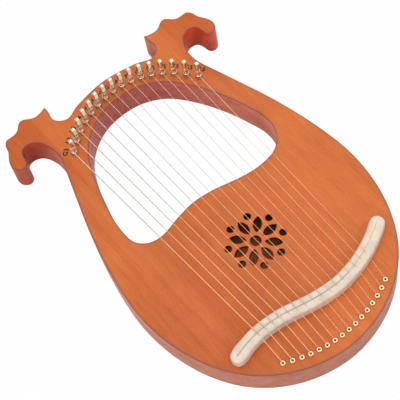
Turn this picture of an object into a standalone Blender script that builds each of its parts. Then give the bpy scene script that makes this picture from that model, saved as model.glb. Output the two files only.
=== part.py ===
"""A sixteen-string lyre harp, lying on its back with its crown towards +Y.

The body is a rim frame between a back board and a soundboard. The strings rise through eyelets
at the tail, cross a curved bridge and wind round tuning pins in the crown. Units are metres.
"""

import math

import bmesh
import bpy
from mathutils import Matrix, Vector

# The body.
BODY_LENGTH = 0.430
BODY_WIDTH = 0.2788
BODY_THICKNESS = 0.035
BOARD_THICKNESS = 0.003
RIM_WIDTH = 0.005
SHOULDER_WIDTH = 0.012
EDGE_ROUNDING = 0.0011
EDGE_ROUNDING_STEPS = 1
CLEARANCE = 0.0003
CURVE_TOLERANCE = 0.00022

# The hand opening, by the wood that is left round it.
CROWN_DEPTH = 0.0298
LEFT_ARM = 0.0439
RIGHT_ARM = 0.0382
OPENING_UP = 0.2117

# The rosette in the soundboard.
ROSETTE_UP = 0.147
ROSETTE_HUB_RADIUS = 0.0055
PETAL_COUNT = 8
PETAL_START = 0.010
PETAL_LENGTH = 0.0175
PETAL_WIDTH = 0.0088
PETAL_FULLNESS = 0.8
DROP_DISTANCE = 0.0290
DROP_RADIUS = 0.0036

# The tail block and the two braces under the soundboard.
TAIL_BLOCK_UP = 0.045
BRACE_WIDTH = 0.008
BRACE_HEIGHT = 0.010
BRACE_END_SLOPE = 0.006
BRIDGE_BRACE_UP = 0.066
UPPER_BRACE_GAP = 0.0057

# The bridge and the metal saddle rod along its ridge.
BRIDGE_WIDTH = 0.015
BRIDGE_HEIGHT = 0.0105
BRIDGE_ROUNDING = 0.0058
BRIDGE_ROUNDING_STEPS = 3
BRIDGE_END_TURNS = (-60, -30, 0, 30, 60)
SADDLE_RADIUS = 0.0008
SADDLE_RISE = 0.0004
SADDLE_END_INSET = 0.006

# The strings, from the longest and thickest to the thinnest.
STRING_COUNT = 16
FIRST_STRING_DIAMETER = 0.0010
LAST_STRING_DIAMETER = 0.0005
SADDLE_FIRST_X = -0.0650
SADDLE_SPACING = 0.00903

# The tuning pins and the raised bushes that they turn in.
PIN_RADIUS = 0.0025
PIN_DEPTH = 0.018
PIN_HEIGHT = 0.026
PIN_HEAD_WIDTH = 0.0050
PIN_HEAD_LENGTH = 0.0085
PIN_HEAD_CHAMFER = 0.0007
PIN_HOLE_RADIUS = 0.0008
PIN_HOLE_HEIGHT = 0.0158
BUSH_RADIUS = 0.0036
BUSH_HEIGHT = 0.0010

# The winding of each string on its pin.
WINDING_HEIGHT = 0.0115
WINDING_TURNS = 2.5
WINDING_STEPS = 9
WINDING_GAP = 0.0005

# The eyelets and the ball ends behind them.
EYELET_SPACING = 0.0088
EYELET_ROW_X = 0.002
EYELET_LEFT_INSET = 0.0128
EYELET_MIDDLE_INSET = 0.0136
EYELET_RIGHT_INSET = 0.0110
EYELET_RADIUS = 0.00275
EYELET_FLANGE = 0.0008
EYELET_TUBE_RADIUS = 0.00175
EYELET_TUBE_LENGTH = 0.0022
EYELET_BORE_RADIUS = 0.0010
STRING_BEND = 0.0012
STRING_BEND_STEPS = 2
STRING_HOLE_RADIUS = 0.0011
BALL_RADIUS = 0.0019
BALL_LENGTH = 0.0032
BALL_HOLE_RADIUS = 0.0024
BALL_SEAT_UP = 0.0090

# How finely the small round pieces are cut into sides, and what counts as a sharp edge on them.
PIN_SIDES = 10
BUSH_SIDES = 10
EYELET_SIDES = 8
HOLE_SIDES = 8
PETAL_STEPS = 5
ROD_RESOLUTION = 2
STRING_RESOLUTION = 1
SHARP_ANGLE = math.radians(35)
STRING_SHARP_ANGLE = math.radians(70)

# How near two points count as one, and how near level a face counts as flat.
SAME_POINT = 0.000003
SAME_DIGITS = 6
SAME_LEVEL = 0.00003
SAME_PLANE = math.radians(1)
LEVEL_FACE = 0.5
ROUND_PROFILE = 0.5

# The finishes: colour, roughness, and whether it is metal.
STAINED_MAHOGANY = ((0.56, 0.16, 0.045), 0.45, 0.0)
MAHOGANY_SIDES = ((0.44, 0.17, 0.12), 0.5, 0.0)
RAW_WOOD = ((0.45, 0.27, 0.16), 0.8, 0.0)
BONE = ((0.80, 0.72, 0.60), 0.35, 0.0)
STRING_STEEL = ((0.72, 0.70, 0.66), 0.3, 1.0)
NICKEL_PLATE = ((0.75, 0.74, 0.72), 0.18, 1.0)
BRASS = ((0.80, 0.60, 0.33), 0.3, 1.0)

# Heights of the layers.
BACK_BOARD_TOP = BOARD_THICKNESS
FRAME_BOTTOM = BACK_BOARD_TOP + CLEARANCE
FACE = BODY_THICKNESS
SOUNDBOARD_BOTTOM = FACE - BOARD_THICKNESS
FRAME_TOP = SOUNDBOARD_BOTTOM - CLEARANCE
SADDLE_TOP = FACE + CLEARANCE + BRIDGE_HEIGHT + SADDLE_RISE

# The outline's right half, drawn in millimetres from the middle line and the tail: the bowl, the
# arm, the hook under the horn, the scrolls over it, and the crown. The cusp stays sharp.
BOWL_AND_ARM = [
    (0, 0), (38.5, 6.0), (70, 20.0), (98, 42.8), (119, 73.5), (132.8, 110),
    (139.4, 159), (134.8, 209), (121.2, 270.5), (98.5, 342.6),
]
BOWL_KNOTS = 5
HOOK = [
    (92.9, 363), (95.2, 384), (101.5, 395), (110.7, 399.3), (119.2, 396.9),
    (122.3, 388.5), (123.8, 381.2), (129.6, 377.8), (136.6, 381.6),
]
SCROLLS = [
    (139.1, 389.5), (135.6, 399.5), (131.2, 407.2), (129.4, 414.5), (125.2, 419.8),
    (118, 420.2), (110.8, 421.3), (100.2, 430), (84.2, 423.6),
]
CUSP = (69.6, 426.8)
CROWN = [(69.3, 418), (70.9, 408.5), (60.3, 397.6), (42.5, 403.0), (21, 407.7), (0, 409.8)]

# The hand opening, drawn the same way: its lower edge from left to right, then on round.
OPENING_FOOT = [
    (-69, 215.3), (-47.2, 219.9), (-20.3, 224.3), (6.8, 221.4), (33.4, 214.8), (60, 211.7),
]
OPENING = OPENING_FOOT + [
    (86.7, 218.4), (98.8, 234), (101.2, 251), (95.1, 278), (83.5, 309.4), (67.7, 338.8),
    (46.5, 364.4), (23, 376.8), (-3, 380), (-27.5, 376), (-47.3, 365.7), (-63.3, 350.6),
    (-78, 321), (-88.8, 285.8), (-95.5, 247), (-93, 228), (-83, 218.2),
]

# The row of tuning pins, drawn with the opening: the curve that it lies on, and where the
# sixteen stand across it, as a cubic in -1 to 1.
PIN_ROW = [
    (-78.5, 355.3), (-56.5, 373.0), (-35.2, 382.7), (-0.8, 389.6), (32.9, 382.8),
    (54.4, 371.2), (73.5, 352.0), (82.0, 340.5),
]
PIN_ROW_X = (5.2, 85.5, -3.4, -5.9)

# The middle line of the bridge, drawn on the body from left to right.
BRIDGE_LINE = [
    (-93, 60.3), (-65, 66.0), (-36, 64.7), (-5, 57.7), (28, 54.2), (55, 58.0), (82, 67.5), (101, 78.0),
]

MM = 0.001


# Curves and plan shapes

def unit(vector):
    length = math.hypot(*vector)
    return vector[0] / length, vector[1] / length


def knot_directions(knots, corners, closed):
    """The direction of the circle through each knot and its two neighbours."""
    directions = []
    for index, knot in enumerate(knots):
        is_end = not closed and index in (0, len(knots) - 1)
        if index in corners or is_end:
            directions.append(None)
            continue
        before = knots[index - 1]
        after = knots[(index + 1) % len(knots)]
        step_in = (knot[0] - before[0], knot[1] - before[1])
        step_out = (after[0] - knot[0], after[1] - knot[1])
        weight_in = 1 / math.hypot(*step_in) ** 2
        weight_out = 1 / math.hypot(*step_out) ** 2
        directions.append(unit((
            step_in[0] * weight_in + step_out[0] * weight_out,
            step_in[1] * weight_in + step_out[1] * weight_out,
        )))
    return directions


def mirrored_about(direction, chord):
    along = direction[0] * chord[0] + direction[1] * chord[1]
    return 2 * along * chord[0] - direction[0], 2 * along * chord[1] - direction[1]


def angle_between(first, second):
    return math.acos(max(-1.0, min(1.0, first[0] * second[0] + first[1] * second[1])))


def bezier_point(points, t):
    weights = ((1 - t) ** 3, 3 * t * (1 - t) ** 2, 3 * t * t * (1 - t), t ** 3)
    return tuple(sum(w * p[axis] for w, p in zip(weights, points)) for axis in (0, 1))


def curve_through(knots, corners=(), closed=True):
    """Points of a smooth curve through the knots, near enough together for the tolerance."""
    directions = knot_directions(knots, corners, closed)
    points = []
    for index in range(len(knots) if closed else len(knots) - 1):
        following = (index + 1) % len(knots)
        start, end = knots[index], knots[following]
        chord = unit((end[0] - start[0], end[1] - start[1]))
        leaving, arriving = directions[index], directions[following]
        if leaving is None:
            leaving = mirrored_about(arriving, chord) if arriving else chord
        if arriving is None:
            arriving = mirrored_about(leaving, chord)
        turn = angle_between(leaving, chord) + angle_between(arriving, chord)
        length = math.dist(start, end)
        handle = length / 3 / math.cos(turn / 4) ** 2
        controls = (
            start,
            (start[0] + leaving[0] * handle, start[1] + leaving[1] * handle),
            (end[0] - arriving[0] * handle, end[1] - arriving[1] * handle),
            end,
        )
        steps = max(1, math.ceil(math.sqrt(length * turn / 8 / CURVE_TOLERANCE)))
        points += [bezier_point(controls, step / steps) for step in range(steps)]
    if not closed:
        points.append(tuple(knots[-1]))
    return points


def box_of(points):
    return tuple((min(p[axis] for p in points), max(p[axis] for p in points)) for axis in (0, 1))


def stretched(points, drawn, wanted):
    """The points moved from the drawn box to the wanted one."""
    result = []
    for point in points:
        result.append(tuple(
            want[0] + (value - draw[0]) * (want[1] - want[0]) / (draw[1] - draw[0])
            for value, draw, want in zip(point, drawn, wanted)
        ))
    return result


def circle(centre, radius, sides, turned=0.0):
    return [
        (
            centre[0] + radius * math.cos(turned + math.tau * side / sides),
            centre[1] + radius * math.sin(turned + math.tau * side / sides),
        )
        for side in range(sides)
    ]


def beside(points, distance):
    """The open line moved to its right by the distance."""
    moved = []
    for index, point in enumerate(points):
        before = points[max(index - 1, 0)]
        after = points[min(index + 1, len(points) - 1)]
        along = unit((after[0] - before[0], after[1] - before[1]))
        moved.append((point[0] + along[1] * distance, point[1] - along[0] * distance))
    return moved


def height_at(points, x):
    """Where the open line, drawn from left to right or back, crosses x."""
    for start, end in zip(points, points[1:]):
        if min(start[0], end[0]) <= x <= max(start[0], end[0]) and start[0] != end[0]:
            return start[1] + (end[1] - start[1]) * (x - start[0]) / (end[0] - start[0])
    nearest = min(points, key=lambda point: abs(point[0] - x))
    return nearest[1]


def half_width_at(points, y):
    """How far from the middle the right-hand line is at y."""
    return height_at([(point[1], point[0]) for point in points], y)


DRAWN_HALF = BOWL_AND_ARM + HOOK + SCROLLS + [CUSP] + CROWN
DRAWN_BODY = ((-max(p[0] for p in DRAWN_HALF), max(p[0] for p in DRAWN_HALF)), box_of(DRAWN_HALF)[1])
BODY_BOX = ((-BODY_WIDTH / 2, BODY_WIDTH / 2), (-BODY_LENGTH / 2, BODY_LENGTH / 2))
TAIL = -BODY_LENGTH / 2


def on_body(points):
    return stretched(points, DRAWN_BODY, BODY_BOX)


def body_outline():
    half = on_body(DRAWN_HALF)
    knots = half + [(-x, y) for x, y in reversed(half[1:-1])]
    cusp = DRAWN_HALF.index(CUSP)
    return curve_through(knots, corners=(cusp, len(knots) - cusp))


def opening_box():
    crown_top = on_body(CROWN)[-1][1]
    return (
        (-BODY_WIDTH / 2 + LEFT_ARM, BODY_WIDTH / 2 - RIGHT_ARM),
        (TAIL + OPENING_UP, crown_top - CROWN_DEPTH),
    )


def with_opening(points):
    return stretched(points, box_of(OPENING), opening_box())


def opening_outline():
    return curve_through(with_opening(OPENING))


def tail_edge():
    """The bowl's edge from its left side round the tail and up the right arm."""
    mirrored = [(-x, y) for x, y in reversed(BOWL_AND_ARM[1:BOWL_KNOTS])]
    return curve_through(on_body(mirrored + BOWL_AND_ARM), closed=False)


def bowl_side():
    """The right side of the bowl, from the tail up to the arm."""
    return [point for point in tail_edge() if point[0] >= 0]


def bowl_inside(gap):
    """The right side of the bowl, moved in by the rim and the gap."""
    inner = beside(bowl_side(), -(RIM_WIDTH + gap))
    inner[0] = (0.0, inner[0][1])
    return inner


def chamber_outline():
    """The hollow between the rims, with a wall left under the hand opening."""
    lower_edge = [(x, y - SHOULDER_WIDTH) for x, y in with_opening(OPENING_FOOT)]
    across = curve_through(lower_edge, closed=False)
    right_top, left_top = across[-1][1], across[0][1]
    inside = bowl_inside(0)
    right = [point for point in inside if point[1] < right_top]
    left = [(-x, y) for x, y in inside[1:] if y < left_top]
    right.append((half_width_at(inside, right_top), right_top))
    left.append((-half_width_at(inside, left_top), left_top))
    return right + across[::-1] + left[::-1]


def tail_block_outline():
    inside = bowl_inside(CLEARANCE)
    top = TAIL + TAIL_BLOCK_UP
    right = [point for point in inside if point[1] < top]
    right.append((half_width_at(inside, top), top))
    return right + [(-x, y) for x, y in reversed(right[1:])]


def bridge_line():
    return curve_through(on_body(BRIDGE_LINE), closed=False)


def bridge_outline():
    line = bridge_line()
    ends = []
    for tip, neighbour in ((line[-1], line[-2]), (line[0], line[1])):
        heading = math.atan2(tip[1] - neighbour[1], tip[0] - neighbour[0])
        ends.append([
            (
                tip[0] + BRIDGE_WIDTH / 2 * math.cos(heading + math.radians(turn)),
                tip[1] + BRIDGE_WIDTH / 2 * math.sin(heading + math.radians(turn)),
            )
            for turn in BRIDGE_END_TURNS
        ])
    return beside(line, BRIDGE_WIDTH / 2) + ends[0] + beside(line, -BRIDGE_WIDTH / 2)[::-1] + ends[1]


def rosette_holes():
    """A hub hole, a ring of pointed petals and a drop between each two of their tips."""
    middle = (0.0, TAIL + ROSETTE_UP)
    holes = [circle(middle, ROSETTE_HUB_RADIUS, PIN_SIDES)]
    for index in range(PETAL_COUNT):
        angle = math.tau * index / PETAL_COUNT
        outward = Vector((math.cos(angle), math.sin(angle)))
        sideways = Vector((-outward.y, outward.x))
        petal = []
        for side in (1, -1):
            for step in range(PETAL_STEPS):
                share = step / PETAL_STEPS if side > 0 else 1 - step / PETAL_STEPS
                spread = side * PETAL_WIDTH / 2 * math.sin(math.pi * share) ** PETAL_FULLNESS
                place = outward * (PETAL_START + PETAL_LENGTH * share) + sideways * spread
                petal.append((middle[0] + place.x, middle[1] + place.y))
        holes.append(petal)
        between = angle + math.pi / PETAL_COUNT
        centre = (
            middle[0] + DROP_DISTANCE * math.cos(between),
            middle[1] + DROP_DISTANCE * math.sin(between),
        )
        holes.append(circle(centre, DROP_RADIUS, HOLE_SIDES, between))
    return holes


# Places of the strings, pins and eyelets

def string_share(index):
    return index / (STRING_COUNT - 1)


def string_diameter(index):
    return FIRST_STRING_DIAMETER + (LAST_STRING_DIAMETER - FIRST_STRING_DIAMETER) * string_share(index)


def pin_places():
    row = curve_through(with_opening(PIN_ROW), closed=False)
    places = []
    for index in range(STRING_COUNT):
        share = 2 * string_share(index) - 1
        drawn = sum(factor * share ** power for power, factor in enumerate(PIN_ROW_X))
        x = with_opening([(drawn, 0)])[0][0]
        places.append((x, height_at(row, x)))
    return places


def eyelet_places():
    """A row along the tail's edge, set in by a distance that bends from the left to the right."""
    edge = tail_edge()
    bend = (EYELET_LEFT_INSET + EYELET_RIGHT_INSET) / 2 - EYELET_MIDDLE_INSET
    lean = (EYELET_RIGHT_INSET - EYELET_LEFT_INSET) / 2
    places = []
    for index in range(STRING_COUNT):
        x = EYELET_ROW_X + (index - (STRING_COUNT - 1) / 2) * EYELET_SPACING
        share = 2 * string_share(index) - 1
        inset = EYELET_MIDDLE_INSET + lean * share + bend * share ** 2
        places.append((x, height_at(edge, x) + inset))
    return places


def saddle_places():
    line = bridge_line()
    return [
        (x, height_at(line, x))
        for x in (SADDLE_FIRST_X + SADDLE_SPACING * index for index in range(STRING_COUNT))
    ]


# Scene, materials and general tools

def clear_scene():
    for item in list(bpy.data.objects):
        bpy.data.objects.remove(item, do_unlink=True)


def new_collection(name):
    collection = bpy.data.collections.new(name)
    bpy.context.scene.collection.children.link(collection)
    return collection


def new_material(name, colour, roughness, metallic):
    material = bpy.data.materials.new(name)
    material.use_nodes = True
    shader = material.node_tree.nodes["Principled BSDF"]
    shader.inputs["Base Color"].default_value = (*colour, 1.0)
    shader.inputs["Roughness"].default_value = roughness
    shader.inputs["Metallic"].default_value = metallic
    material.diffuse_color = (*colour, 1.0)
    return material


def mesh_from(guide, collection):
    """The guide object's shape as a closed mesh in world space. The guide is removed."""
    collection.objects.link(guide)
    bpy.context.view_layer.update()
    graph = bpy.context.evaluated_depsgraph_get()
    mesh = bpy.data.meshes.new_from_object(guide.evaluated_get(graph))
    mesh.transform(guide.matrix_world)
    data = guide.data
    bpy.data.objects.remove(guide)
    if isinstance(data, bpy.types.Curve):
        bpy.data.curves.remove(data)
    work = bmesh.new()
    work.from_mesh(mesh)
    bmesh.ops.remove_doubles(work, verts=work.verts, dist=SAME_POINT)
    bmesh.ops.recalc_face_normals(work, faces=work.faces)
    work.to_mesh(mesh)
    work.free()
    return mesh


def plate_mesh(loops, bottom, top, collection):
    """A flat outline with holes, standing from bottom to top."""
    curve = bpy.data.curves.new("plate", "CURVE")
    curve.dimensions = "2D"
    curve.fill_mode = "BOTH"
    curve.extrude = (top - bottom) / 2
    for loop in loops:
        spline = curve.splines.new("POLY")
        spline.points.add(len(loop) - 1)
        for point, (x, y) in zip(spline.points, loop):
            point.co = (x, y, 0, 1)
        spline.use_cyclic_u = True
    guide = bpy.data.objects.new("plate", curve)
    guide.location.z = (bottom + top) / 2
    return mesh_from(guide, collection)


def tube_mesh(points, radius, resolution, collection, factors=None):
    """A round bar along the points, with closed ends."""
    curve = bpy.data.curves.new("tube", "CURVE")
    curve.dimensions = "3D"
    curve.bevel_depth = radius
    curve.bevel_resolution = resolution
    curve.use_fill_caps = True
    spline = curve.splines.new("POLY")
    spline.points.add(len(points) - 1)
    for index, (point, place) in enumerate(zip(spline.points, points)):
        point.co = (*place, 1)
        point.radius = factors[index] if factors else 1.0
    return mesh_from(bpy.data.objects.new("tube", curve), collection)


def rounded_edges(mesh, loops, level, width, segments):
    """Rounds the edges at the level that lie on one of the loops."""
    spots = {(round(x, SAME_DIGITS), round(y, SAME_DIGITS)) for loop in loops for x, y in loop}
    work = bmesh.new()
    work.from_mesh(mesh)

    def on_loop(vertex):
        spot = (round(vertex.co.x, SAME_DIGITS), round(vertex.co.y, SAME_DIGITS))
        return abs(vertex.co.z - level) < SAME_LEVEL and spot in spots

    def is_rim(edge):
        upright = [abs(face.normal.z) < LEVEL_FACE for face in edge.link_faces]
        return all(on_loop(vertex) for vertex in edge.verts) and any(upright) and not all(upright)

    flat = [edge for edge in work.edges if edge.calc_face_angle(math.pi) < SAME_PLANE]
    bmesh.ops.dissolve_edges(work, edges=flat, use_verts=False)
    edges = [edge for edge in work.edges if is_rim(edge)]
    bmesh.ops.bevel(
        work, geom=edges, offset=width, offset_type="OFFSET", segments=segments,
        profile=ROUND_PROFILE, affect="EDGES", clamp_overlap=False,
    )
    work.to_mesh(mesh)
    work.free()


def new_part(name, mesh, material, collection):
    mesh.name = name
    mesh.materials.clear()
    mesh.materials.append(material)
    part = bpy.data.objects.new(name, mesh)
    collection.objects.link(part)
    return part


def new_cutter(name, mesh, collection):
    cutter = bpy.data.objects.new(name, mesh)
    cutter.hide_render = True
    cutter.display_type = "WIRE"
    collection.objects.link(cutter)
    return cutter


def add_boolean(part, cutter, operation="DIFFERENCE"):
    modifier = part.modifiers.new(cutter.name, "BOOLEAN")
    modifier.operation = operation
    modifier.solver = "EXACT"
    modifier.object = cutter


def shade(mesh, angle=SHARP_ANGLE):
    mesh.shade_smooth()
    mesh.set_sharp_from_angle(angle=angle)


def upright_cylinders(name, places, radius, sides, bottom, top, collection):
    """One mesh of upright cylinders, one at each place."""
    work = bmesh.new()
    for x, y in places:
        made = bmesh.ops.create_cone(
            work, cap_ends=True, segments=sides, radius1=radius, radius2=radius, depth=top - bottom,
        )
        bmesh.ops.translate(work, vec=(x, y, (bottom + top) / 2), verts=made["verts"])
    bmesh.ops.recalc_face_normals(work, faces=work.faces)
    mesh = bpy.data.meshes.new(name)
    work.to_mesh(mesh)
    work.free()
    return new_cutter(name, mesh, collection)


def turned_mesh(profile, sides, collection):
    """The closed profile of (radius, height) turned round the upright axis."""
    mesh = bpy.data.meshes.new("profile")
    edges = [(index, (index + 1) % len(profile)) for index in range(len(profile))]
    mesh.from_pydata([(radius, 0, height) for radius, height in profile], edges, [])
    guide = bpy.data.objects.new("profile", mesh)
    screw = guide.modifiers.new("turn", "SCREW")
    screw.steps = sides
    screw.render_steps = sides
    screw.use_merge_vertices = True
    screw.merge_threshold = SAME_POINT
    return mesh_from(guide, collection)


# The body pieces

def make_soundboard(parts, cutters, wood, pin_bores):
    outline, opening = body_outline(), opening_outline()
    mesh = plate_mesh([outline, opening], SOUNDBOARD_BOTTOM, FACE, parts)
    rounded_edges(mesh, [outline, opening], FACE, EDGE_ROUNDING, EDGE_ROUNDING_STEPS)
    board = new_part("soundboard", mesh, wood, parts)
    below, above = SOUNDBOARD_BOTTOM - BOARD_THICKNESS, FACE + BOARD_THICKNESS
    rosette = plate_mesh(rosette_holes(), below, above, cutters)
    add_boolean(board, new_cutter("rosette_holes", rosette, cutters))
    add_boolean(board, upright_cylinders(
        "eyelet_holes", eyelet_places(), EYELET_TUBE_RADIUS + CLEARANCE, EYELET_SIDES,
        below, above, cutters,
    ))
    bushes = upright_cylinders(
        "pin_bushes", pin_places(), BUSH_RADIUS, BUSH_SIDES,
        FACE - BOARD_THICKNESS / 2, FACE + BUSH_HEIGHT, cutters,
    )
    add_boolean(board, bushes, "UNION")
    add_boolean(board, pin_bores)


def make_back_board(parts, wood, ball_holes):
    outline, opening = body_outline(), opening_outline()
    mesh = plate_mesh([outline, opening], 0, BACK_BOARD_TOP, parts)
    rounded_edges(mesh, [outline, opening], 0, EDGE_ROUNDING, EDGE_ROUNDING_STEPS)
    board = new_part("back_board", mesh, wood, parts)
    add_boolean(board, ball_holes)


def make_body_frame(parts, wood, pin_bores):
    loops = [body_outline(), opening_outline(), chamber_outline()]
    mesh = plate_mesh(loops, FRAME_BOTTOM, FRAME_TOP, parts)
    frame = new_part("body_frame", mesh, wood, parts)
    add_boolean(frame, pin_bores)


def make_tail_block(parts, cutters, wood, ball_holes):
    mesh = plate_mesh([tail_block_outline()], FRAME_BOTTOM, FRAME_TOP, parts)
    block = new_part("tail_block", mesh, wood, parts)
    add_boolean(block, ball_holes)
    add_boolean(block, upright_cylinders(
        "string_holes", eyelet_places(), STRING_HOLE_RADIUS, HOLE_SIDES,
        BALL_SEAT_UP - BOARD_THICKNESS, FACE, cutters,
    ))


def make_brace(name, up, parts, wood):
    """A bar under the soundboard whose lower corners slope up at the ends."""
    inside = bowl_inside(CLEARANCE)
    low, high = TAIL + up - BRACE_WIDTH / 2, TAIL + up + BRACE_WIDTH / 2
    reach = min(half_width_at(inside, low), half_width_at(inside, high))
    work = bmesh.new()
    bmesh.ops.create_cube(work, size=1.0)
    bmesh.ops.scale(work, vec=(2 * reach, BRACE_WIDTH, BRACE_HEIGHT), verts=work.verts)
    low_ends = [
        edge for edge in work.edges
        if all(v.co.z < 0 for v in edge.verts) and abs(edge.verts[0].co.x - edge.verts[1].co.x) < reach
    ]
    bmesh.ops.bevel(work, geom=low_ends, offset=BRACE_END_SLOPE, segments=1, affect="EDGES")
    bmesh.ops.translate(work, vec=(0, TAIL + up, FRAME_TOP - BRACE_HEIGHT / 2), verts=work.verts)
    mesh = bpy.data.meshes.new(name)
    work.to_mesh(mesh)
    work.free()
    new_part(name, mesh, wood, parts)


def make_bridge(parts, cutters, bone):
    outline = bridge_outline()
    bottom = FACE + CLEARANCE
    mesh = plate_mesh([outline], bottom, bottom + BRIDGE_HEIGHT, parts)
    rounded_edges(mesh, [outline], bottom + BRIDGE_HEIGHT, BRIDGE_ROUNDING, BRIDGE_ROUNDING_STEPS)
    bridge = new_part("bridge", mesh, bone, parts)
    groove = tube_mesh(saddle_line(CLEARANCE), SADDLE_RADIUS + CLEARANCE, ROD_RESOLUTION, cutters)
    add_boolean(bridge, new_cutter("saddle_groove", groove, cutters))
    shade(mesh)


def saddle_line(longer=0.0):
    """Along the ridge of the bridge, stopping short of its two ends."""
    points = bridge_line()
    inset = SADDLE_END_INSET - BRIDGE_WIDTH / 2 - longer
    for tip, neighbour in ((0, 1), (-1, -2)):
        start, end = points[tip], points[neighbour]
        inward = unit((end[0] - start[0], end[1] - start[1]))
        points[tip] = (start[0] + inward[0] * inset, start[1] + inward[1] * inset)
    return [(x, y, SADDLE_TOP - SADDLE_RADIUS) for x, y in points]


def make_saddle_rod(parts, metal):
    mesh = tube_mesh(saddle_line(), SADDLE_RADIUS, ROD_RESOLUTION, parts)
    shade(mesh)
    new_part("saddle_rod", mesh, metal, parts)


# Pins, strings and eyelets

def pin_mesh(cutters, metal):
    """A round shaft with a square head and a cross hole for the string, standing on its axis."""
    chamfer = PIN_HEAD_CHAMFER
    shaft_top = PIN_HEIGHT - PIN_HEAD_LENGTH / 2
    profile = [
        (PIN_RADIUS, shaft_top), (PIN_RADIUS, -PIN_DEPTH + chamfer),
        (PIN_RADIUS - chamfer, -PIN_DEPTH), (0, -PIN_DEPTH), (0, shaft_top),
    ]
    shaft = new_cutter("pin_shaft", turned_mesh(profile, PIN_SIDES, cutters), cutters)
    work = bmesh.new()
    bmesh.ops.create_cube(work, size=1.0)
    bmesh.ops.scale(work, vec=(PIN_HEAD_WIDTH, PIN_HEAD_WIDTH, PIN_HEAD_LENGTH), verts=work.verts)
    upper = [edge for edge in work.edges if any(vertex.co.z > 0 for vertex in edge.verts)]
    bmesh.ops.bevel(work, geom=upper, offset=chamfer, segments=1, affect="EDGES")
    bmesh.ops.translate(work, vec=(0, 0, shaft_top), verts=work.verts)
    head_mesh = bpy.data.meshes.new("pin_head")
    work.to_mesh(head_mesh)
    work.free()
    head = bpy.data.objects.new("pin_head", head_mesh)
    add_boolean(head, shaft, "UNION")
    work = bmesh.new()
    bmesh.ops.create_cone(
        work, cap_ends=True, segments=HOLE_SIDES, radius1=PIN_HOLE_RADIUS,
        radius2=PIN_HOLE_RADIUS, depth=4 * PIN_RADIUS,
    )
    across = Matrix.Rotation(math.pi / 2, 3, "Y")
    bmesh.ops.rotate(work, cent=(0, 0, 0), matrix=across, verts=work.verts)
    bmesh.ops.translate(work, vec=(0, 0, PIN_HOLE_HEIGHT), verts=work.verts)
    hole_mesh = bpy.data.meshes.new("pin_hole")
    work.to_mesh(hole_mesh)
    work.free()
    add_boolean(head, new_cutter("pin_hole", hole_mesh, cutters))
    mesh = mesh_from(head, cutters)
    mesh.name = "tuning_pin"
    mesh.materials.clear()
    mesh.materials.append(metal)
    shade(mesh)
    return mesh


def winding(pin, saddle, diameter):
    """The string's middle line on its pin, from where it leaves up to the cross hole.

    It goes clockwise seen from above, from the pin's left side, so that turning the pin
    clockwise tightens it.
    """
    touching = PIN_RADIUS + CLEARANCE + diameter / 2
    radius = touching / math.cos(math.pi / WINDING_STEPS)
    away = (saddle[0] - pin[0], saddle[1] - pin[1])
    leaving = math.atan2(away[1], away[0]) - math.acos(radius / math.hypot(*away))
    pitch = diameter + WINDING_GAP
    points = []
    steps = round(WINDING_TURNS * WINDING_STEPS)
    for step in range(steps + 1):
        turns = step / WINDING_STEPS
        angle = leaving - math.tau * turns
        points.append(Vector((
            pin[0] + radius * math.cos(angle),
            pin[1] + radius * math.sin(angle),
            FACE + WINDING_HEIGHT + pitch * turns,
        )))
    return points, angle


def string_line(index, pin, saddle, eyelet):
    """The string's whole middle line from its pin to its ball end, and each point's thickness."""
    diameter = string_diameter(index)
    turns, _ = winding(pin, saddle, diameter)
    ridge = Vector((*saddle, SADDLE_TOP + CLEARANCE + diameter / 2))
    mouth = FACE + CLEARANCE + EYELET_FLANGE
    run = Vector((eyelet[0] - saddle[0], eyelet[1] - saddle[1]))
    heading = run.normalized()
    fall = math.atan2(ridge.z - mouth - STRING_BEND, run.length)
    points = turns[::-1] + [ridge]
    for step in range(STRING_BEND_STEPS + 1):
        slope = fall + (math.pi / 2 - fall) * step / STRING_BEND_STEPS
        back = STRING_BEND * (1 - math.sin(slope))
        points.append(Vector((
            eyelet[0] - heading.x * back,
            eyelet[1] - heading.y * back,
            mouth + STRING_BEND * math.cos(slope),
        )))
    ball_top = BALL_SEAT_UP - CLEARANCE
    thick = BALL_RADIUS / (diameter / 2)
    heights = ((ball_top, 1.0), (ball_top - SAME_LEVEL, thick), (ball_top - BALL_LENGTH, thick))
    factors = [1.0] * len(points)
    for height, factor in heights:
        points.append(Vector((*eyelet, height)))
        factors.append(factor)
    return points, factors


def least_gap(points, diameter):
    """The least clear space between stretches of one winding that aren't neighbours."""
    least = math.inf
    apart = WINDING_STEPS // 2
    for first, a in enumerate(points):
        for b, c in zip(points[first + apart:], points[first + apart + 1:]):
            along = max(0.0, min(1.0, (a - b).dot(c - b) / (c - b).length_squared))
            least = min(least, (a - b - (c - b) * along).length - diameter)
    return least


def make_strings(parts, steel):
    pins, saddles, eyelets = pin_places(), saddle_places(), eyelet_places()
    gaps = []
    for index in range(STRING_COUNT):
        diameter = string_diameter(index)
        turns, _ = winding(pins[index], saddles[index], diameter)
        gaps.append(least_gap(turns, diameter))
        points, factors = string_line(index, pins[index], saddles[index], eyelets[index])
        mesh = tube_mesh(points, diameter / 2, STRING_RESOLUTION, parts, factors)
        shade(mesh, STRING_SHARP_ANGLE)
        new_part(f"string_{index + 1:02d}", mesh, steel, parts)
    print(f"least gap between turns on a pin: {min(gaps) / MM:.2f} mm")


def make_pins(parts, cutters, metal, rest):
    mesh = pin_mesh(cutters, metal)
    for index, (pin, saddle) in enumerate(zip(pin_places(), saddle_places())):
        _, end = winding(pin, saddle, string_diameter(index))
        part = bpy.data.objects.new(f"tuning_pin_{index + 1:02d}", mesh)
        part.location = (*pin, FACE)
        part.rotation_euler.z = end
        part.parent = rest
        parts.objects.link(part)


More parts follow.
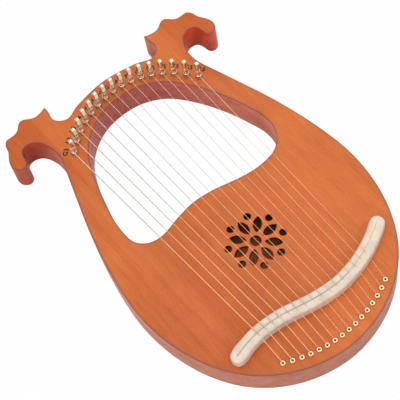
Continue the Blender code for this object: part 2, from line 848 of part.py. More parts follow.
def make_eyelets(parts, brass, rest):
    top = EYELET_FLANGE
    profile = [
        (EYELET_BORE_RADIUS, top), (EYELET_TUBE_RADIUS, top), (EYELET_RADIUS, top / 2),
        (EYELET_RADIUS, 0), (EYELET_TUBE_RADIUS, 0), (EYELET_TUBE_RADIUS, -EYELET_TUBE_LENGTH),
        (EYELET_BORE_RADIUS, -EYELET_TUBE_LENGTH),
    ]
    mesh = turned_mesh(profile, EYELET_SIDES, parts)
    mesh.name = "eyelet"
    mesh.materials.append(brass)
    shade(mesh)
    for index, place in enumerate(eyelet_places()):
        part = bpy.data.objects.new(f"eyelet_{index + 1:02d}", mesh)
        part.location = (*place, FACE + CLEARANCE)
        part.parent = rest
        parts.objects.link(part)


def main():
    clear_scene()
    parts = new_collection("lyre_harp")
    cutters = new_collection("cutters")
    cutters.hide_render = True
    rest = bpy.data.objects.new("lyre_harp_origin", None)
    parts.objects.link(rest)
    face_wood = new_material("stained_mahogany", *STAINED_MAHOGANY)
    side_wood = new_material("mahogany_sides", *MAHOGANY_SIDES)
    raw_wood = new_material("raw_wood", *RAW_WOOD)
    bone = new_material("bone", *BONE)
    steel = new_material("string_steel", *STRING_STEEL)
    nickel = new_material("nickel_plate", *NICKEL_PLATE)
    brass = new_material("brass", *BRASS)
    bore_radius = (PIN_RADIUS + CLEARANCE) / math.cos(math.pi / PIN_SIDES)
    pin_bores = upright_cylinders(
        "pin_bores", pin_places(), bore_radius, PIN_SIDES,
        FACE - PIN_DEPTH - CLEARANCE, FACE + PIN_HEIGHT, cutters,
    )
    ball_holes = upright_cylinders(
        "ball_holes", eyelet_places(), BALL_HOLE_RADIUS, HOLE_SIDES,
        -BOARD_THICKNESS, BALL_SEAT_UP, cutters,
    )
    make_soundboard(parts, cutters, face_wood, pin_bores)
    make_back_board(parts, face_wood, ball_holes)
    make_body_frame(parts, side_wood, pin_bores)
    make_tail_block(parts, cutters, raw_wood, ball_holes)
    make_brace("bridge_brace", BRIDGE_BRACE_UP, parts, raw_wood)
    under_opening = OPENING_UP - SHOULDER_WIDTH - UPPER_BRACE_GAP - BRACE_WIDTH / 2
    make_brace("upper_brace", under_opening, parts, raw_wood)
    make_bridge(parts, cutters, bone)
    make_saddle_rod(parts, steel)
    make_pins(parts, cutters, nickel, rest)
    make_strings(parts, steel)
    make_eyelets(parts, brass, rest)


main()
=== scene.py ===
import math

import bmesh
import bpy
from mathutils import Matrix, Vector


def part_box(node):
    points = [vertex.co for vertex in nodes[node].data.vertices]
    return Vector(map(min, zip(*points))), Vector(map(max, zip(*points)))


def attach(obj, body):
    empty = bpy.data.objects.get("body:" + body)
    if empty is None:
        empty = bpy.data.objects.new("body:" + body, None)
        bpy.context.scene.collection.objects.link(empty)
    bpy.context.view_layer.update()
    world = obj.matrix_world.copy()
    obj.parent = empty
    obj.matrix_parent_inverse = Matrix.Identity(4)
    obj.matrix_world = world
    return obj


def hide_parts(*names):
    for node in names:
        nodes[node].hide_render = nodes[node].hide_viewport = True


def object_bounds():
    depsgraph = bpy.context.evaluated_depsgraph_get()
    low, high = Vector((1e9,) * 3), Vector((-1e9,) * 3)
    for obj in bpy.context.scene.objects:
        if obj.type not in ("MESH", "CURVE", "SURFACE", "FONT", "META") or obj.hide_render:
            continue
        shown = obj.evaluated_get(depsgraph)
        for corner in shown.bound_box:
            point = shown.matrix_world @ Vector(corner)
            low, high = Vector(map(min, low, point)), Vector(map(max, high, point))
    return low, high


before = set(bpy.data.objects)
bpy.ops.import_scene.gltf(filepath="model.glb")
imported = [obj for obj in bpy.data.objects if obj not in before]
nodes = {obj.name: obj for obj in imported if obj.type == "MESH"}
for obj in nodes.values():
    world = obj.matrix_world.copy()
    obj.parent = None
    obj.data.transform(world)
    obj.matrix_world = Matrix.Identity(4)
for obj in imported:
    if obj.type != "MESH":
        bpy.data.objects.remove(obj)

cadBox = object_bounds()
mm = 0.001
stringCount = sum(name.startswith("string_") for name in nodes)
print("frame loaded:", len(nodes), "nodes,", stringCount, "strings")

layers = {"face": 35.0, "saddleTop": 46.2}     # heights above the table, mm


# Small tools

def linear(hexColour):
    # sRGB hex to the linear colour that Blender's sockets take
    channels = [int(hexColour[i:i + 2], 16) / 255 for i in (1, 3, 5)]
    return [c / 12.92 if c <= 0.04045 else ((c + 0.055) / 1.055) ** 2.4 for c in channels] + [1.0]


def addNode(tree, kind, output=0, settings=None, *values, **named):
    # adds a node, sets its properties, links or sets its inputs (values in order, then i0, i1
    # by number and others by name) and gives back the output asked for
    node = tree.nodes.new(kind)
    for key, value in (settings or {}).items():
        setattr(node, key, value)
    inputs = list(zip(node.inputs, values))
    for key, value in named.items():
        byNumber = key[0] == "i" and key[1:].isdigit()
        socket = node.inputs[int(key[1:])] if byNumber else node.inputs[key.replace("_", " ")]
        inputs.append((socket, value))
    for socket, value in inputs:
        if isinstance(value, bpy.types.NodeSocket):
            tree.links.new(value, socket)
        else:
            socket.default_value = value
    return node.outputs[output]


def numbered(name, index):
    return f"{name}_{index + 1:02d}"


def placeOf(node):
    # the middle of a CAD node seen from above, in mm
    low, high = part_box(node)
    return Vector(((low.x + high.x) / 2 / mm, (low.y + high.y) / 2 / mm))


def newObject(name, data):
    made = bpy.data.objects.new(name, data)
    bpy.context.scene.collection.objects.link(made)
    return made


def newPiece(name, mesh, body, slot, *stoodFor):
    mesh.name = name
    piece = newObject(name, mesh)
    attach(piece, body)
    if stoodFor:
        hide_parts(*stoodFor)


def joinRings(shape, rings, smooth=False):
    # faces between each ring of corners and the next
    for lower, upper in zip(rings, rings[1:]):
        for i in range(len(lower)):
            j = (i + 1) % len(lower)
            shape.faces.new((lower[i], lower[j], upper[j], upper[i])).smooth = smooth


def meshFrom(name, shape):
    mesh = bpy.data.meshes.new(name)
    shape.to_mesh(mesh)
    shape.free()
    return mesh


def finishedMesh(guide):
    # what the object's letters or modifiers come to, as a plain mesh
    bpy.context.view_layer.update()
    graph = bpy.context.evaluated_depsgraph_get()
    return bpy.data.meshes.new_from_object(guide.evaluated_get(graph))


# Materials

colours = {"data_type": "RGBA"}                            # what a Mix node blends, and how
tinted = {"data_type": "RGBA", "blend_type": "MULTIPLY"}
product = {"operation": "MULTIPLY"}                        # and what a Math node works out
productSum = {"operation": "MULTIPLY_ADD"}
larger = {"operation": "MAXIMUM"}
magnitude = {"operation": "ABSOLUTE"}


def newMaterial(name):
    material = bpy.data.materials.new(name)
    material.use_nodes = True
    tree = material.node_tree
    place = addNode(tree, "ShaderNodeTexCoord", "Object")
    return material, tree, tree.nodes["Principled BSDF"].inputs, place


mahogany = {
    # each stain, where the grain is light and where it is dark
    "stains": {
        "face": ("#D27337", "#C2622E"),       # orange-brown on the soundboard and the back
        "low": ("#CB6B37", "#BB5B2E"),        # painted shade: a little darker and redder towards the bowl's left
        "side": ("#CC8067", "#B0654F"),       # thinner and pinker on the sawn sides
        "deepShade": ("#C4685A", "#AA4F44"),       # painted shade: darker and redder on the walls towards the crown and in the hand opening
        "pink": ("#CB756C", "#B05A52"),       # pinker on the left
        "warm": ("#E0805E", "#C4624A"),       # painted light: lighter on the far wall of the hand opening and on the horns' tops
        "hornShade": ("#C04A24", "#A63D1C"),       # painted shade: darkest and reddest in the hooks of the horns
        "litFarHorn": ("#E0582C", "#C14923"),    # painted light: lighter in the right one
        "shadedHornFace": ("#C4622C", "#B4531F"),   # painted shade: darker and redder on the horns' faces too
    },
    # which way a stain's place is measured, and in mm where it begins and where it is full
    "zones": {
        "lowShadeAcross": ("across", 20.0, -90.0),
        "lowShadeAlong": ("along", 10.0, -90.0),
        "deepShade": ("along", -25.0, 25.0),
        "pink": ("across", -70.0, -100.0),
        "litAcross": ("across", 50.0, 95.0),
        "litAlong": ("along", 180.0, 195.0),
        "litFarHorn": ("across", -10.0, 10.0),
        "hornAlong": ("along", 95.0, 140.0),
        "hornOutward": ("outward", 84.0, 94.0),
        "hookAlong": ("along", 168.0, 158.0),
        "hookOutward": ("outward", 114.0, 122.0),
    },
    "hookPink": 0.85,                 # how far the hooks' ends lose that painted shade and turn pink again
    "level": (0.90, 0.97),            # how level: where the side's colour ends, the face's is full
    "burnt": "#8A4A30",               # darker on the rounded edge between them
    "burntFrom": (0.25, 0.45, 0.0, 0.8),    # how level: where it begins and is full; how much
    "besideEdge": "#8C5F50",              # and the face beside the edge
    "edgeReach": 2.9,                 # mm in from the edge
    "edgeNearness": (1.0, 0.75, 0.0, 0.8),    # from no wall in reach to one close by, and how much of it
    "scorched": "#2E1A12",            # laser-cut walls of the rosette
    "rosette": (0.0, -68.0, 34.0),    # its middle and reach, mm
    # each pattern: its length across, along and through the wood in mm, detail and roughness
    "patterns": {
        "grain": ((0.9, 30.0, 0.9), 3.0, 0.55),
        "band": ((9.0, 160.0, 9.0), 2.0, 0.5),
        "pore": ((0.30, 3.2, 0.30), 1.0, 0.5),
        "cloud": ((60.0, 60.0, 60.0), 2.0, 0.5),
    },
    "bandShare": 0.45,                # of the bands in "wood", beside the grain
    # what is read off a pattern: from where to where in it, and the values at those two ends
    "readings": {
        "streak": ("wood", 0.37, 0.66),
        "shade": ("cloud", 0.3, 0.7, 0.90, 1.06),
        "opened": ("pore", 0.58, 0.70),
        "satin": ("wood", 0.3, 0.7, 0.42, 0.54),     # the varnish's roughness
    },
    "poreShade": "#EAE2DD",           # what the open pores are darkened by
    "ior": 1.5, "specular": 0.2,
    "bump": (0.2, 0.1),               # strength, and the pores' depth in mm
}


def woodPatterns(tree, place):
    # the noises that run with the grain, and what is read off them
    pattern = {}
    for label, (size, detail, rough) in mahogany["patterns"].items():
        moved = addNode(tree, "ShaderNodeMapping", Vector=place,
                        Scale=[1 / (mm * length) for length in size])
        pattern[label] = addNode(tree, "ShaderNodeTexNoise", Vector=moved, Scale=1.0,
                                 Detail=detail, Roughness=rough)
    pattern["wood"] = addNode(tree, "ShaderNodeMix", i0=mahogany["bandShare"],
                              i2=pattern["grain"], i3=pattern["band"])
    for label, (source, *ends) in mahogany["readings"].items():
        pattern[label] = addNode(tree, "ShaderNodeMapRange", 0, None, pattern[source], *ends)
    return pattern


def stainColours(tree, place, streak):
    # each stain with its light and dark grain, and each laid over another where its zone is; some
    # of the zones are painted shade and some painted light
    s = mahogany
    stain = {
        label: addNode(tree, "ShaderNodeMix", 2, colours, i0=streak,
                       i6=linear(light), i7=linear(dark))
        for label, (light, dark) in s["stains"].items()
    }
    ways = {
        "across": addNode(tree, "ShaderNodeSeparateXYZ", "X", Vector=place),
        "along": addNode(tree, "ShaderNodeSeparateXYZ", "Y", Vector=place),
    }
    ways["outward"] = addNode(tree, "ShaderNodeMath", 0, magnitude, ways["across"])
    zone = {
        label: addNode(tree, "ShaderNodeMapRange", 0, None, ways[way], start * mm, end * mm)
        for label, (way, start, end) in s["zones"].items()
    }
    # painted shade on the face, full towards the bowl's left
    low = addNode(tree, "ShaderNodeMath", 0, product, zone["lowShadeAcross"], zone["lowShadeAlong"])
    # painted light on the far wall of the hand opening and the horns' tops
    warm = addNode(tree, "ShaderNodeMath", 0, larger, zone["litAcross"], zone["litAlong"])
    # painted shade on the horns, on their faces and walls, lifted again at the hooks' ends
    hornShade = addNode(tree, "ShaderNodeMath", 0, product, zone["hornAlong"], zone["hornOutward"])
    hook = addNode(tree, "ShaderNodeMath", 0, product, zone["hookOutward"], zone["hookAlong"])
    kept = addNode(tree, "ShaderNodeMath", 0, productSum, hook, -s["hookPink"], 1.0)
    hornSide = addNode(tree, "ShaderNodeMath", 0, product, hornShade, kept)
    # painted shade on the bowl's left, the horns and the walls towards the crown; painted light on
    # the far wall of the hand opening and the right horn
    for under, over, share in (
        ("face", "low", low), ("face", "shadedHornFace", hornShade),
        ("hornShade", "litFarHorn", zone["litFarHorn"]), ("deepShade", "pink", zone["pink"]),
        ("deepShade", "warm", warm), ("side", "deepShade", zone["deepShade"]), ("side", "hornShade", hornSide),
    ):
        stain[under] = addNode(tree, "ShaderNodeMix", 2, colours, i0=share,
                               i6=stain[under], i7=stain[over])
    return stain


def roundTheEdge(tree, side, face):
    # the side's colour where the wood is steep, the face's where it is level, darker in between
    s = mahogany
    normal = addNode(tree, "ShaderNodeNewGeometry", "True Normal")
    upright = addNode(tree, "ShaderNodeSeparateXYZ", "Z", Vector=normal)
    level = addNode(tree, "ShaderNodeMath", 0, magnitude, upright)
    flat = addNode(tree, "ShaderNodeMapRange", 0, None, level, *s["level"])
    colour = addNode(tree, "ShaderNodeMix", 2, colours, i0=flat, i6=side, i7=face)
    rising = addNode(tree, "ShaderNodeMapRange", 0, None, level, *s["burntFrom"])
    falling = addNode(tree, "ShaderNodeMapRange", 0, None, level, *s["level"][::-1])
    edge = addNode(tree, "ShaderNodeMath", 0, product, rising, falling)
    return addNode(tree, "ShaderNodeMix", 2, colours, i0=edge, i6=colour, i7=linear(s["burnt"]))


def makeMahogany(name, cutPattern):
    # Mahogany, sawn, sanded and stained, under a satin varnish: fine straight grain along the body,
    # short dark pores and slow changes of colour. The side walls are paler and pinker, and the
    # colour is darker on the rounded edge and on the face beside it. Some of the stain's zones are
    # painted shade and painted light.
    s = mahogany
    material, tree, shader, place = newMaterial(name)
    pattern = woodPatterns(tree, place)
    stain = stainColours(tree, place, pattern["streak"])
    side, face = stain["side"], stain["face"]
    openness = addNode(tree, "ShaderNodeAmbientOcclusion", "AO",
                       {"inside": True, "only_local": True, "samples": 8},
                       Distance=s["edgeReach"] * mm)
    besideEdge = addNode(tree, "ShaderNodeMapRange", 0, None, openness, *s["edgeNearness"])
    if cutPattern:
        x, y, reach = s["rosette"]
        away = addNode(tree, "ShaderNodeVectorMath", "Value", {"operation": "DISTANCE"},
                       place, Vector((x, y, layers["face"])) * mm)
        near = addNode(tree, "ShaderNodeMath", 0, {"operation": "LESS_THAN"}, away, reach * mm)
        side = addNode(tree, "ShaderNodeMix", 2, colours, i0=near, i6=side,
                       i7=linear(s["scorched"]))
        besideEdge = addNode(tree, "ShaderNodeMath", 0, {"operation": "SUBTRACT", "use_clamp": True},
                         besideEdge, near)
    face = addNode(tree, "ShaderNodeMix", 2, colours, i0=besideEdge, i6=face, i7=linear(s["besideEdge"]))
    colour = roundTheEdge(tree, side, face)
    colour = addNode(tree, "ShaderNodeMix", 2, tinted, i0=1.0, i6=colour, i7=pattern["shade"])
    colour = addNode(tree, "ShaderNodeMix", 2, tinted, i0=pattern["opened"], i6=colour,
                     i7=linear(s["poreShade"]))
    tree.links.new(colour, shader["Base Color"])
    tree.links.new(pattern["satin"], shader["Roughness"])
    shader["IOR"].default_value = s["ior"]
    shader["Specular IOR Level"].default_value = s["specular"]
    strength, depth = s["bump"]
    bump = addNode(tree, "ShaderNodeBump", Strength=strength, Distance=depth * mm,
                   Height=pattern["pore"])
    tree.links.new(bump, shader["Normal"])
    return material


rawWood = {
    "light": "#C09A72", "dark": "#99704C",
    "grain": (60.0, 2.2, 2.2),        # its length across, along and through the harp, mm
    "detail": 4.0, "rough": 0.6,
    "streak": (0.35, 0.7),            # where in the pattern it is light, and where dark
    "bump": (0.4, 0.2),               # strength, and depth in mm
    "roughness": 0.8,
}


def makeRawWood():
    # Spruce, sawn and left unfinished inside the body: dull and pale, with coarse grain
    # across the harp.
    s = rawWood
    material, tree, shader, place = newMaterial("sawn spruce")
    moved = addNode(tree, "ShaderNodeMapping", Vector=place,
                    Scale=[1 / (mm * length) for length in s["grain"]])
    grain = addNode(tree, "ShaderNodeTexNoise", Vector=moved, Scale=1.0, Detail=s["detail"],
                    Roughness=s["rough"])
    streak = addNode(tree, "ShaderNodeMapRange", 0, None, grain, *s["streak"])
    colour = addNode(tree, "ShaderNodeMix", 2, colours, i0=streak, i6=linear(s["light"]),
                     i7=linear(s["dark"]))
    tree.links.new(colour, shader["Base Color"])
    strength, depth = s["bump"]
    bump = addNode(tree, "ShaderNodeBump", Strength=strength, Distance=depth * mm, Height=grain)
    tree.links.new(bump, shader["Normal"])
    shader["Roughness"].default_value = s["roughness"]
    return material


bridgeResin = {
    "pale": "#E2D0BF", "warm": "#D2BDA9",
    "cloud": (11.0, 4.0, 0.55),           # its width in mm, detail and roughness
    "speck": (0.8, 2.0, 0.5),
    "cloudWarm": (0.38, 0.68),            # from where to where in the pattern it turns warm
    "speckPale": (0.3, 0.6, 0.95),        # the same, and how dark a speck is
    "polish": (0.3, 0.7, 0.40, 0.50),     # and the roughness at the two ends
    "ior": 1.54,
    "glow": 0.08, "glowDepth": 2.0,       # light under its skin, and how deep in mm
}


def makeResin():
    # Cast resin in a bone colour, polished by hand: cream with soft cloudy blotches, tiny
    # specks and a low shine.
    s = bridgeResin
    material, tree, shader, place = newMaterial("cream cast resin")
    cloud, speck = [
        addNode(tree, "ShaderNodeTexNoise", Vector=place, Scale=1 / (width * mm), Detail=detail,
                Roughness=rough)
        for width, detail, rough in (s["cloud"], s["speck"])
    ]
    blotch = addNode(tree, "ShaderNodeMapRange", 0, None, cloud, *s["cloudWarm"])
    colour = addNode(tree, "ShaderNodeMix", 2, colours, i0=blotch, i6=linear(s["pale"]),
                     i7=linear(s["warm"]))
    clean = addNode(tree, "ShaderNodeMapRange", 0, None, speck, *s["speckPale"])
    colour = addNode(tree, "ShaderNodeMix", 2, tinted, i0=1.0, i6=colour, i7=clean)
    tree.links.new(colour, shader["Base Color"])
    polish = addNode(tree, "ShaderNodeMapRange", 0, None, cloud, *s["polish"])
    tree.links.new(polish, shader["Roughness"])
    shader["IOR"].default_value = s["ior"]
    shader["Subsurface Weight"].default_value = s["glow"]
    shader["Subsurface Scale"].default_value = s["glowDepth"] * mm
    return material


metals = {
    # clean and tarnished colour, roughness, and the width of the tarnish's patches in mm
    "nickel plate": ("#E2D0BE", "#C6B4A2", 0.14, 3.0),       # polished: mirrors the room sharply
    "pale turned brass": ("#FFE3C4", "#F0CFA6", 0.2, 2.0),   # cream, with a bright top edge
    "ground steel rod": ("#D6C3A8", "#C2B094", 0.22, 2.0),   # a thin dull line in the cream
    "drawn steel wire": ("#F8C6A4", "#E0B494", 0.22, 2.0),   # bright, with a painted reflection of the wood that makes it warm
    "wound steel wire": ("#FFC69C", "#E6B086", 0.30, 2.0),   # warm with the same painted reflection, broader and softer in its shine
    "pale rolled brass": ("#FFDFAE", "#EBC48C", 0.26, 2.0),  # soft yellow rings
    "turned brass": ("#D9B36A", "#B98E48", 0.3, 2.0),        # deeper yellow, seen from the back
}
tarnish = {"detail": 3.0, "from": (0.35, 0.75), "dulls": 0.1}


def makeMetal(name):
    # Plated, turned or drawn metal: its own colour, with slight changes of tarnish and shine.
    colour, dark, roughness, patch = metals[name]
    s = tarnish
    material, tree, shader, place = newMaterial(name)
    cloud = addNode(tree, "ShaderNodeTexNoise", Vector=place, Scale=1 / (patch * mm),
                    Detail=s["detail"])
    worn = addNode(tree, "ShaderNodeMapRange", 0, None, cloud, *s["from"])
    blend = addNode(tree, "ShaderNodeMix", 2, colours, i0=worn, i6=linear(colour), i7=linear(dark))
    tree.links.new(blend, shader["Base Color"])
    dull = addNode(tree, "ShaderNodeMapRange", Value=worn, To_Min=roughness,
                   To_Max=roughness + s["dulls"])
    tree.links.new(dull, shader["Roughness"])
    shader["Metallic"].default_value = 1.0
    return material


wire = {
    "crown": "#FFDCC8",                  # painted highlight: brightest near the crown
    "grey": "#C8C0B8",                   # the wire without the painted reflection of the wood, where there is no wood below
    "openMiddle": (-10.0, 56.0, 46.3),   # the hand opening as the strings pass it, in mm
    "openReach": (86.0, 78.0),
    "openAbove": (2.0, 14.0),
    "bridge": (0.07, -155.8, 8.0),       # the bridge's slope, its place and half its width, mm
    "coilShade": "#DCCDBE",                # painted shade: darker in the windings on the pin
    "spacing": 0.45, "depth": 0.06,      # mm; the real wrap of 0.15 mm is too fine to show
    "bump": 0.6,                         # its strength
}


def makeWire(name):
    # Hard drawn steel with painted light: a painted highlight near the crown, a painted reflection
    # of the wood below that makes it warm, grey over the hand opening and the bridge, and painted
    # shade where it is wound by hand on its pin.
    s = wire
    material = makeMetal(name)
    tree = material.node_tree
    shader = tree.nodes["Principled BSDF"].inputs
    clean = shader["Base Color"].links[0].from_socket
    place = addNode(tree, "ShaderNodeTexCoord", "Object")
    across = addNode(tree, "ShaderNodeSeparateXYZ", "X", Vector=place)
    along = addNode(tree, "ShaderNodeSeparateXYZ", "Y", Vector=place)
    reach = addNode(tree, "ShaderNodeVectorMath", "Value", {"operation": "DISTANCE"},
                    place, Vector(s["openMiddle"]) * mm)
    within, above = [
        addNode(tree, "ShaderNodeMapRange", 0, None, value, start * mm, end * mm)
        for value, (start, end) in ((reach, s["openReach"]), (along, s["openAbove"]))
    ]
    isOpen = addNode(tree, "ShaderNodeMath", 0, product, within, above)
    isCrown = addNode(tree, "ShaderNodeMath", 0, {"operation": "SUBTRACT"}, above, isOpen)
    slope, middle, half = s["bridge"]
    skewed = addNode(tree, "ShaderNodeMath", 0, productSum, across, slope, along)
    isBridge = addNode(tree, "ShaderNodeMath", 0, {"operation": "COMPARE"},
                       skewed, middle * mm, half * mm)
    # no painted reflection of the wood over the hand opening and the bridge
    isGrey = addNode(tree, "ShaderNodeMath", 0, larger, isOpen, isBridge)
    # painted highlight on the strings near the crown
    bright = addNode(tree, "ShaderNodeMix", 2, colours, i0=isCrown, i6=clean,
                     i7=linear(s["crown"]))
    grey = addNode(tree, "ShaderNodeMix", 2, colours, i0=isGrey, i6=bright, i7=linear(s["grey"]))
    # painted shade on the winding round the pin
    isWound = addNode(tree, "ShaderNodeAttribute", "Fac", {"attribute_name": "winding"})
    colour = addNode(tree, "ShaderNodeMix", 2, tinted, i0=isWound, i6=grey,
                     i7=linear(s["coilShade"]))
    tree.links.new(colour, shader["Base Color"])
    return material


def makeWoundWire(name):
    # A steel core wrapped with a finer steel wire: close ridges across it spread its shine.
    material = makeWire(name)
    tree = material.node_tree
    along = addNode(tree, "ShaderNodeAttribute", "Fac", {"attribute_name": "along"})
    phase = addNode(tree, "ShaderNodeMath", 0, product, along, math.tau / (wire["spacing"] * mm))
    ridge = addNode(tree, "ShaderNodeMath", 0, {"operation": "SINE"}, phase)
    bump = addNode(tree, "ShaderNodeBump", Strength=wire["bump"], Distance=wire["depth"] * mm,
                   Height=ridge)
    tree.links.new(bump, tree.nodes["Principled BSDF"].inputs["Normal"])
    return material


scorch = {"brown": "#2A120B", "ash": "#452016", "patch": 1.5, "detail": 3.0, "roughness": 0.75}


def makeScorch():
    # Wood burnt by a laser: nearly black brown and dull, with a little ash left in it.
    s = scorch
    material, tree, shader, place = newMaterial("laser-burnt wood")
    ash = addNode(tree, "ShaderNodeTexNoise", Vector=place, Scale=1 / (s["patch"] * mm),
                  Detail=s["detail"])
    colour = addNode(tree, "ShaderNodeMix", 2, colours, i0=ash, i6=linear(s["brown"]),
                     i7=linear(s["ash"]))
    tree.links.new(colour, shader["Base Color"])
    shader["Roughness"].default_value = s["roughness"]
    return material


soundboardWood = makeMahogany("stained mahogany soundboard", True)
bodyWood = makeMahogany("stained mahogany", False)
sawnSpruce = makeRawWood()
creamResin = makeResin()
nickelPlate = makeMetal("nickel plate")
bushBrass = makeMetal("pale turned brass")
rodSteel = makeMetal("ground steel rod")
plainSteel = makeWire("drawn steel wire")
woundSteel = makeWoundWire("wound steel wire")
eyeletBrass = makeMetal("pale rolled brass")
ballBrass = makeMetal("turned brass")
burntWood = makeScorch()
print("materials made")

# the finish of each CAD node, by its name or by the first word of it
finishOf = {
    "soundboard": soundboardWood, "body_frame": bodyWood, "back_board": bodyWood,
    "tail_block": sawnSpruce, "bridge_brace": sawnSpruce, "upper_brace": sawnSpruce,
    "bridge": creamResin, "saddle_rod": rodSteel,
    "string": plainSteel, "tuning": nickelPlate, "eyelet": eyeletBrass,
}
for name, node in nodes.items():
    finish = finishOf.get(name) or finishOf[name.split("_")[0]]
    node.data.materials.clear()
    node.data.materials.append(finish)


# Camera

view = {
    "location": (-0.28391, -0.53098, 1.12864),     # metres
    "rotation": (28.152, 6.421, -38.559),          # degrees
    "lens": 108.75, "sensor": 36.0,                # mm
    "clipEnd": 20.0,
}
cameraData = bpy.data.cameras.new("camera")
cameraData.lens = view["lens"]
cameraData.sensor_width = view["sensor"]
cameraData.clip_end = view["clipEnd"]
camera = newObject("camera", cameraData)
camera.location = view["location"]
camera.rotation_euler = [math.radians(angle) for angle in view["rotation"]]
bpy.context.scene.camera = camera
print("camera set")


# Smooth boards and bridge, on the outlines of the CAD's walls

smoothing = {
    "merge": 0.001, "reach": 0.05,     # mm: what counts as one spot, and as at the height
    "upright": 0.1,                    # how far a wall's normal may lean
    "corner": 0.87,                    # radians: a line's sharper bends stay corners
    "mitre": 0.45,                     # and are cut off where a moved line would run far out
    "outline": 4, "hole": 3,           # pieces to each CAD edge
    "outlines": 3,                     # how many of a board's largest lines are its outlines
    "sharp": 50,                       # degrees
}


def wallLoops(name, height):
    # the closed outlines of a CAD node's upright walls at a height, as lists of places in mm
    shape = bmesh.new()
    shape.from_mesh(nodes[name].data)
    bmesh.ops.remove_doubles(shape, verts=shape.verts, dist=smoothing["merge"] * mm)
    following = {}
    for face in shape.faces:
        if abs(face.normal.z) > smoothing["upright"]:
            continue
        for corner in face.loops:
            other = corner.link_loop_radial_next.face
            ends = corner.vert, corner.link_loop_next.vert
            isRim = abs(other.normal.z) > smoothing["upright"]
            if isRim and all(abs(end.co.z / mm - height) < smoothing["reach"] for end in ends):
                following[ends[0]] = ends[1]
    loops = []
    while following:
        first, second = following.popitem()
        loop = [first]
        while second is not first:
            loop.append(second)
            second = following.pop(second)
        loops.append([spot.co.xy / mm for spot in loop])
    shape.free()
    return sorted(loops, key=lambda loop: -abs(areaOf(loop)))


def areaOf(loop):
    # the area inside a closed line: positive where it runs anticlockwise
    return sum(a.x * b.y - b.x * a.y for a, b in zip(loop, loop[1:] + loop[:1])) / 2


def turnedWay(loop, anticlockwise):
    return loop if (areaOf(loop) > 0) == anticlockwise else loop[::-1]


def mirroredAbout(heading, chord):
    return 2 * heading.dot(chord) * chord - heading


def smoothLoop(loop, pieces):
    # a finer closed line that bends like a circle's arc through the places, sharp corners kept
    count = len(loop)
    headings = []
    for i, spot in enumerate(loop):
        before, after = spot - loop[i - 1], loop[(i + 1) % count] - spot
        isCorner = before.angle(after) > smoothing["corner"]
        bend = before / before.length_squared + after / after.length_squared
        headings.append(None if isCorner else bend.normalized())
    line = []
    for i, start in enumerate(loop):
        end = loop[(i + 1) % count]
        chord = (end - start).normalized()
        leaving, arriving = headings[i], headings[(i + 1) % count]
        leaving = leaving or (mirroredAbout(arriving, chord) if arriving else chord)
        arriving = arriving or mirroredAbout(leaving, chord)
        handle = (end - start).length / 3
        for step in range(pieces):
            t = step / pieces
            line.append(start * (1 - t) ** 3 + (start + leaving * handle) * 3 * t * (1 - t) ** 2
                        + (end - arriving * handle) * 3 * t * t * (1 - t) + end * t ** 3)
    return line


def besideLoop(loop, distance):
    # the closed line moved to its left by the distance, in mm, with mitred corners
    moved = []
    for i, spot in enumerate(loop):
        arriving = (spot - loop[i - 1]).normalized()
        leaving = (loop[(i + 1) % len(loop)] - spot).normalized()
        square = Vector((-arriving.y, arriving.x))
        mitre = (square + Vector((-leaving.y, leaving.x))).normalized()
        moved.append(spot + mitre * distance / max(smoothing["mitre"], mitre.dot(square)))
    return moved


def wallRows(low, high, rounding, roundedTop, steps):
    # (distance in from the outline, height) up a wall, with a quarter round at its top or foot
    arc = []
    for step in range(steps + 1):
        angle = math.pi / 2 * step / steps
        arc.append((rounding * (1 - math.cos(angle)), rounding * (1 - math.sin(angle))))
    if roundedTop:
        return [(0, low)] + [(inset, high - down) for inset, down in arc]
    return [(inset, low + up) for inset, up in arc[::-1]] + [(0, high)]


def solidFrom(name, walls, finish):
    # a closed solid from (closed line, rows) walls, with the wood to the left of each line
    low, high = cadBox
    shape = bmesh.new()
    feet, tops = [], []
    for line, rows in walls:
        rings = []
        for inset, height in rows:
            ring = []
            for spot in besideLoop(line, inset) if inset else line:
                x = min(max(spot.x * mm, low[0]), high[0])
                y = min(max(spot.y * mm, low[1]), high[1])
                ring.append(shape.verts.new((x, y, height * mm)))
            rings.append(ring)
        joinRings(shape, rings, True)
        for ring, rim in ((rings[0], feet), (rings[-1], tops)):
            rim += [shape.edges.get((ring[i - 1], ring[i])) for i in range(len(ring))]
    for edges in (feet, tops):
        bmesh.ops.triangle_fill(shape, edges=edges, use_beauty=True)
    bmesh.ops.recalc_face_normals(shape, faces=shape.faces)
    mesh = meshFrom(name, shape)
    mesh.set_sharp_from_angle(angle=math.radians(smoothing["sharp"]))
    mesh.materials.append(finish)
    return mesh


boards = {
    # the CAD height that the outlines are read at, low, high, where the edge is rounded, and slot
    "soundboard": (32.0, 32.0, 35.0, "top", "stained_mahogany"),
    "body_frame": (31.7, 3.02, 31.98, None, "mahogany_sides"),
    "back_board": (3.0, 0.0, 3.0, "foot", "stained_mahogany"),
}
boardEdge = {"radius": 1.1, "steps": 4, "lines": 2}     # mm; the outer line and the hand opening


def makeBoard(name, finish):
    level, low, high, rounded, slot = boards[name]
    walls = []
    for index, loop in enumerate(wallLoops(name, level)):
        pieces = smoothing["outline" if index < smoothing["outlines"] else "hole"]
        rows = [(0, low), (0, high)]
        if rounded and index < boardEdge["lines"]:
            rows = wallRows(low, high, boardEdge["radius"], rounded == "top", boardEdge["steps"])
        walls.append((turnedWay(smoothLoop(loop, pieces), index == 0), rows))
    newPiece(f"smooth_{name}", solidFrom(name, walls, finish), "body", slot, name)


makeBoard("soundboard", soundboardWood)
makeBoard("body_frame", bodyWood)
makeBoard("back_board", bodyWood)


bridge = {
    "level": 35.3, "out": 0.3,     # mm: the height its CAD outline is read at, and how far out
    "foot": 35.02, "top": 45.8,    # heights above the table
    "edge": 3.0, "steps": 7,       # its rounding
}


